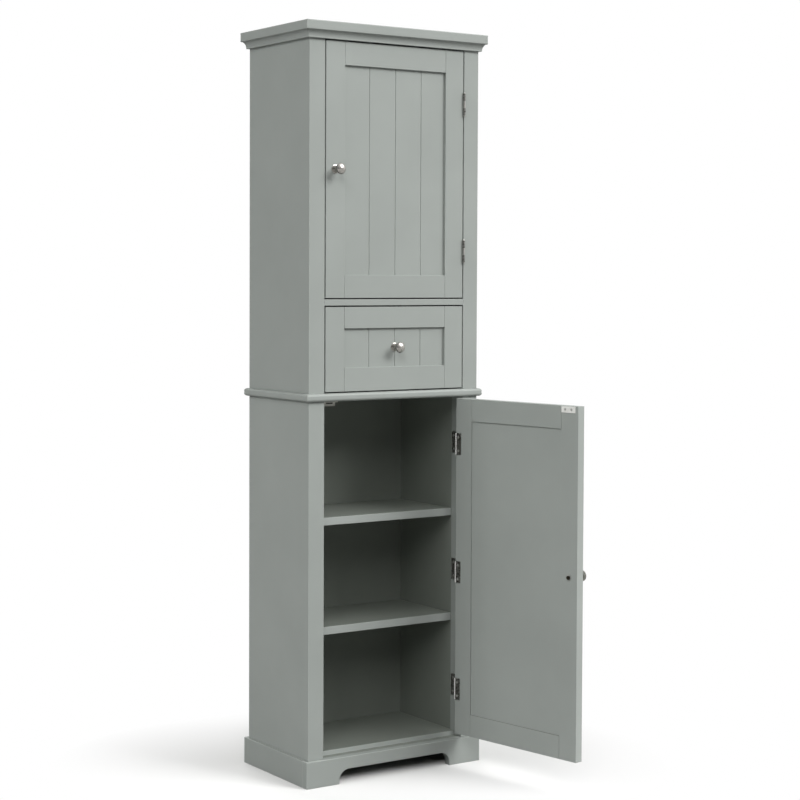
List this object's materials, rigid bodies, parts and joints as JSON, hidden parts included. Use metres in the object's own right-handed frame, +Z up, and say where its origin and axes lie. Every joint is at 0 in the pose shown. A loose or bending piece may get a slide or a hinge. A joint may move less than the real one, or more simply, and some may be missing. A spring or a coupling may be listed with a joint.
{
  "type": "bathroom storage cabinet",
  "caption": "Tall narrow free-standing bathroom cabinet with a framed door above a drawer, a larger door below, and shelves.",
  "frame": {"origin": "on the floor, under the middle of the back edge of the carcass", "axes": "+Z up, -Y towards the front of the cabinet, +X to the right seen from the front"},
  "size_m": [0.5202, 0.6586, 1.7],
  "materials": {
    "painted_board": "satin grey-green paint over boards",
    "drawer_box_wood": "clear satin lacquer",
    "runner_wood": "waxed hardwood",
    "nickel_plate": "polished nickel plate",
    "screw_steel": "zinc-plated steel",
    "strike_steel": "nickel-plated steel",
    "catch_plastic": "off-white moulding"
  },
  "bodies": {
    "case": {"crown_board": "painted_board", "crown_cove_front": "painted_board", "crown_cove_left": "painted_board", "crown_cove_right": "painted_board", "crown_cove_back": "painted_board", "top_board": "painted_board", "upper_side_left": "painted_board", "upper_side_right": "painted_board", "upper_back": "painted_board", "upper_shelf": "painted_board", "shelf_pins": "nickel_plate", "drawer_divider": "painted_board", "drawer_runner_left": "runner_wood", "drawer_runner_right": "runner_wood", "waist_board": "painted_board", "lower_side_left": "painted_board", "lower_side_right": "painted_board", "lower_back": "painted_board", "lower_shelf_high": "painted_board", "lower_shelf_low": "painted_board", "floor_board": "painted_board", "plinth_front": "painted_board", "plinth_left": "painted_board", "plinth_right": "painted_board", "plinth_back": "painted_board", "hinge_frame_leaves": "nickel_plate", "hinge_pins": "nickel_plate", "case_screws": "screw_steel", "magnetic_catches": "catch_plastic"},
    "upper_door": {"upper_door_hinge_stile": "painted_board", "upper_door_latch_stile": "painted_board", "upper_door_top_rail": "painted_board", "upper_door_bottom_rail": "painted_board", "upper_door_panel": "painted_board", "upper_door_hinge_leaves": "nickel_plate", "upper_door_screws": "screw_steel", "upper_door_strike": "strike_steel", "upper_door_knob": "nickel_plate", "upper_door_knob_screw": "screw_steel"},
    "lower_door": {"lower_door_hinge_stile": "painted_board", "lower_door_latch_stile": "painted_board", "lower_door_top_rail": "painted_board", "lower_door_bottom_rail": "painted_board", "lower_door_panel": "painted_board", "lower_door_hinge_leaves": "nickel_plate", "lower_door_screws": "screw_steel", "lower_door_strike": "strike_steel", "lower_door_knob": "nickel_plate", "lower_door_knob_screw": "screw_steel"},
    "drawer": {"drawer_front_stile_left": "painted_board", "drawer_front_stile_right": "painted_board", "drawer_front_rail_top": "painted_board", "drawer_front_rail_bottom": "painted_board", "drawer_front_panel": "painted_board", "drawer_side_left": "drawer_box_wood", "drawer_side_right": "drawer_box_wood", "drawer_back": "drawer_box_wood", "drawer_bottom": "drawer_box_wood", "drawer_knob": "nickel_plate", "drawer_knob_screw": "screw_steel"}
  },
  "joints": [
    {"name": "upper_door_hinge", "type": "hinge", "parent": "case", "child": "upper_door", "pos_m": [0.1875, -0.2708, 1.35], "axis": [0, 0, 1], "range_deg": [0, 165]},
    {"name": "lower_door_hinge", "type": "hinge", "parent": "case", "child": "lower_door", "pos_m": [0.1875, -0.2708, 0.46], "axis": [0, 0, 1], "range_deg": [-100, 65]},
    {"name": "drawer_slide", "type": "slide", "parent": "case", "child": "drawer", "axis": [0, -1, 0], "range_m": [0, 0.18]}
  ]
}
